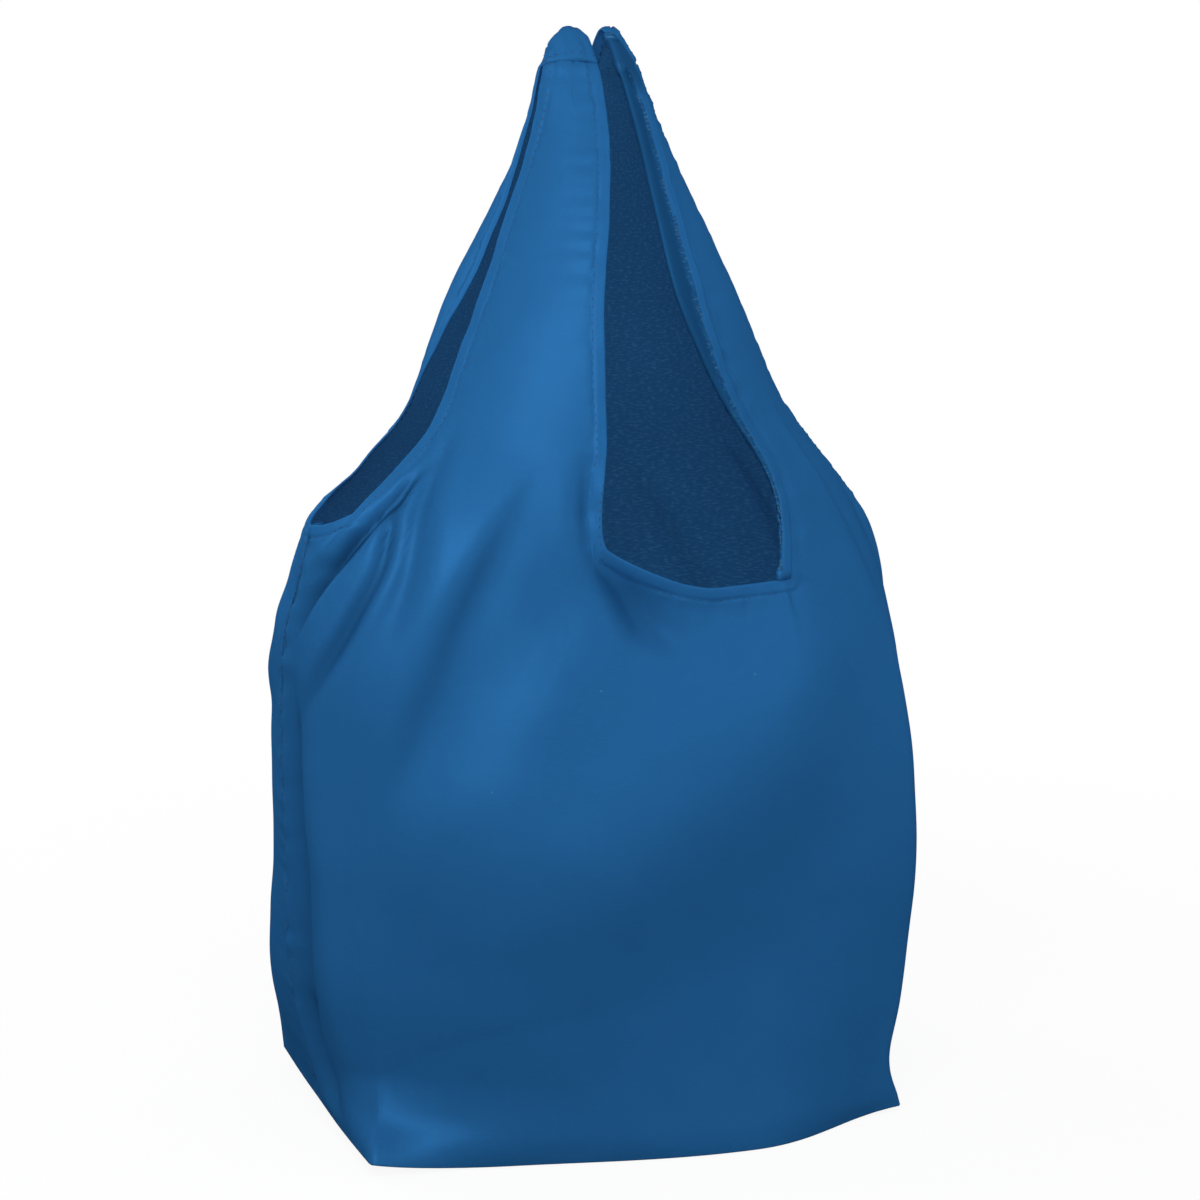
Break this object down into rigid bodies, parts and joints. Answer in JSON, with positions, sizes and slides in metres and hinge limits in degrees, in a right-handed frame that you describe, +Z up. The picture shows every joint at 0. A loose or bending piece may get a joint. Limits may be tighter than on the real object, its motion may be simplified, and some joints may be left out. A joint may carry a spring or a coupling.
{
  "type": "foldable shopping bag",
  "caption": "Soft vest-shaped carrying bag of thin blue polyester cloth, open at the top, hung by its loop handles with a boxed base and gusseted sides.",
  "frame": {"origin": "on the floor under the middle of the bag's box", "axes": "+Z up from the base to the handle loops, +X to the right of the front panel, the front faces -Y"},
  "size_m": [0.3494, 0.2352, 0.568],
  "materials": {
    "cloth": "satin"
  },
  "bodies": {
    "root": {"front_panel": "cloth", "back_panel": "cloth"}
  },
  "joints": []
}
